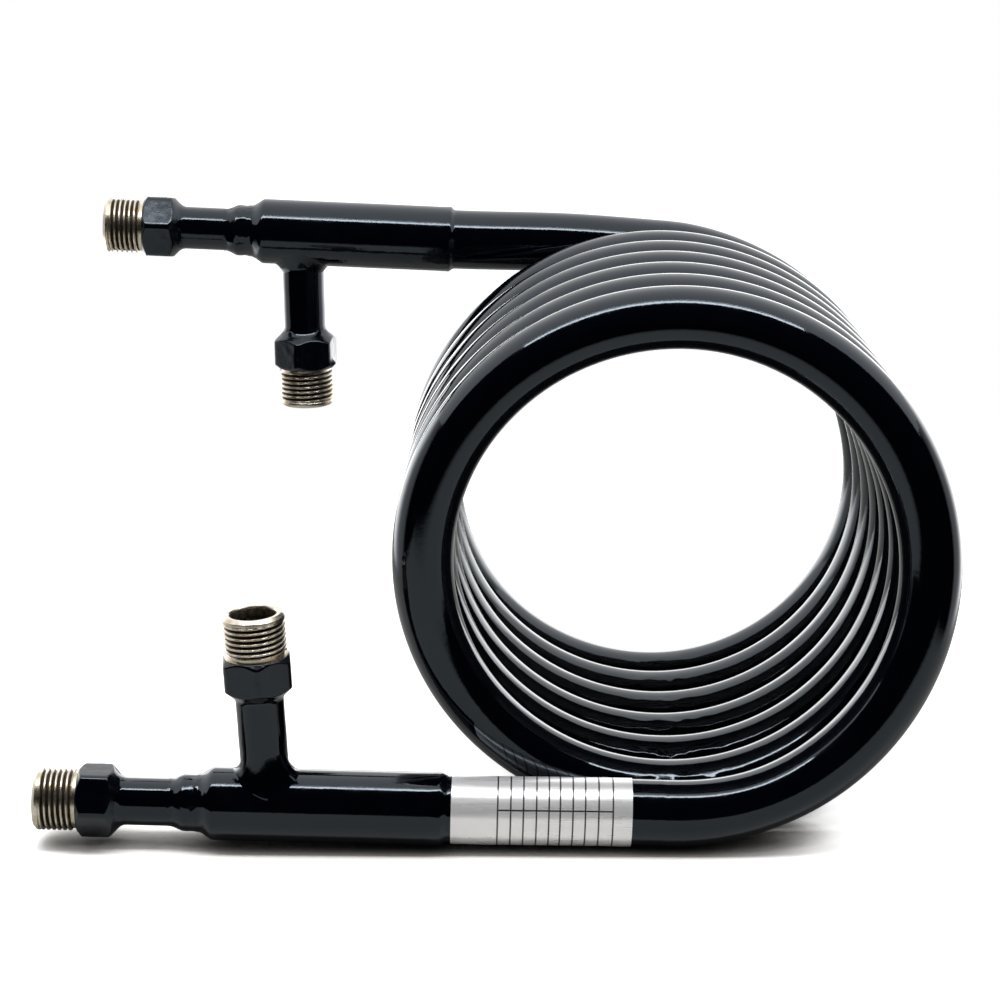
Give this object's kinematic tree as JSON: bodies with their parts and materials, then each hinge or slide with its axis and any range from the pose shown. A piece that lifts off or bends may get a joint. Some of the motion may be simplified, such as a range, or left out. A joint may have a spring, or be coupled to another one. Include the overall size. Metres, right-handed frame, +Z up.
{
  "type": "counterflow wort chiller",
  "caption": "Counterflow wort chiller: a black tube-in-tube coil lying on its side, each end with a wort port in line and a water port on a short branch.",
  "frame": {"origin": "on the floor under the middle of the object's box", "axes": "+Z up, +Y along the coil's axis from the front arm to the rear arm, -X towards the ports"},
  "size_m": [0.3061, 0.1797, 0.1961],
  "materials": {
    "painted_steel": "thick gloss black stove paint over steel, with small runs and lumps at the brazed joints",
    "plated_fitting": "bare nickel-plated threads, slightly warm and dulled, hexagon painted with the rest",
    "label_foil": "silver foil label, bare, with fine ruled lines"
  },
  "bodies": {
    "root": {"outer_tube": "painted_steel", "inner_tube": "painted_steel", "front_header": "painted_steel", "rear_header": "painted_steel", "front_branch_tube": "painted_steel", "rear_branch_tube": "painted_steel", "front_wort_fitting": "plated_fitting", "rear_wort_fitting": "plated_fitting", "front_water_fitting": "plated_fitting", "rear_water_fitting": "plated_fitting", "front_lap_braze": "painted_steel", "rear_lap_braze": "painted_steel", "front_neck_braze": "painted_steel", "rear_neck_braze": "painted_steel", "front_saddle_braze": "painted_steel", "rear_saddle_braze": "painted_steel", "front_wort_braze": "painted_steel", "rear_wort_braze": "painted_steel", "front_water_braze": "painted_steel", "rear_water_braze": "painted_steel", "rating_label": "label_foil"}
  },
  "joints": []
}
